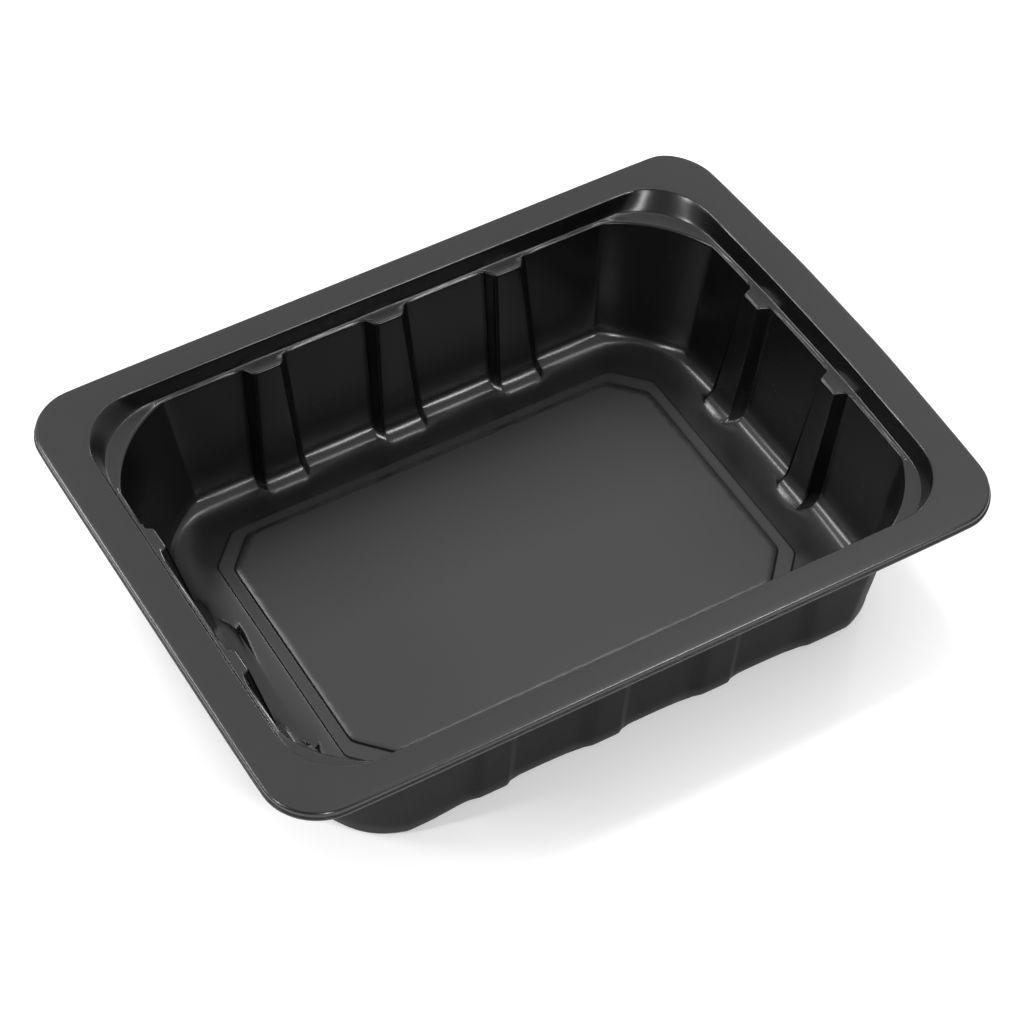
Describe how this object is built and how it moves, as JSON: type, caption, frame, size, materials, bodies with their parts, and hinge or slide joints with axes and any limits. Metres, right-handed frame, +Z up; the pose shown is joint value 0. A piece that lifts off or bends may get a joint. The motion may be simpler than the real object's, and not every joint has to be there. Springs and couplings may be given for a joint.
{
  "type": "vacuum skin packaging tray",
  "caption": "Empty rectangular black plastic food tray: flat sealing rim with a turned-down edge, stepped and ribbed drafted walls, and a raised octagonal panel in the floor.",
  "frame": {"origin": "centre of the tray in plan, on the surface it stands on", "axes": "+X along the long side, +Y along the short side towards the wall with the narrow ribs, +Z up out of the open top"},
  "size_m": [0.2268, 0.1694, 0.0493],
  "materials": {
    "tray": "glossy inner walls, satin rim and floor"
  },
  "bodies": {
    "root": {"tray": "tray"}
  },
  "joints": []
}
